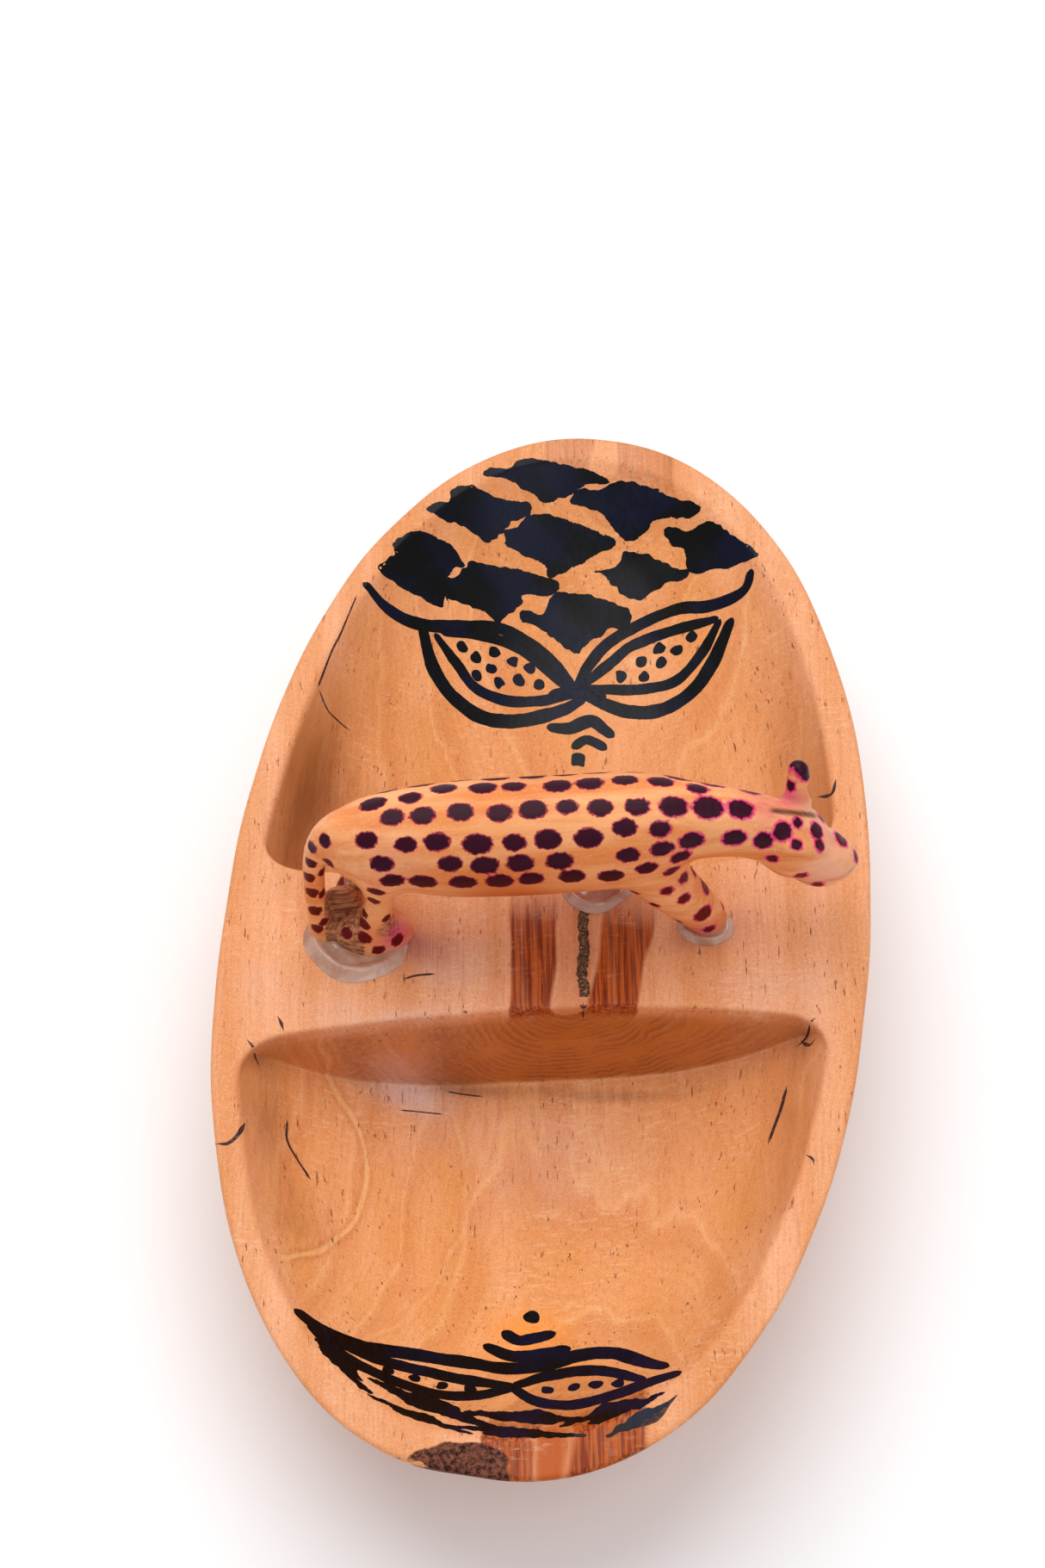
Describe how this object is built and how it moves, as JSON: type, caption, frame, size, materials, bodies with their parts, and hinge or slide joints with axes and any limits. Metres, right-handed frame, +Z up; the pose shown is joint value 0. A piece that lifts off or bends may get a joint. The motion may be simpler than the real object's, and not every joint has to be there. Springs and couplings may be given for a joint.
{
  "type": "double serving bowl with animal figurine",
  "caption": "Oval hand-carved wooden bowl with two hollows and a bridge between them, on which a small spotted leopard figurine is glued.",
  "frame": {"origin": "on the floor plane, under the middle of the whole object's bounding box", "axes": "+Z up, +Y along the oval's long axis towards the narrower far end, +X to the right, the way the leopard faces"},
  "size_m": [0.1596, 0.2993, 0.1018],
  "materials": {
    "bowl_wood": "sanded pale orange-brown wood, satin wax, black ink drawing in both hollows",
    "leopard_wood": "stained wood with dark purple spots ringed in magenta",
    "crack_filler": "rough granular dark sawdust filler",
    "glue": "milky translucent hot-melt glue, glossy skin"
  },
  "bodies": {
    "root": {"bowl_body": "bowl_wood", "crack_filler": "crack_filler", "leopard_figurine": "leopard_wood", "glue_hind": "glue", "glue_front_far": "glue", "glue_front_near": "glue"}
  },
  "joints": []
}
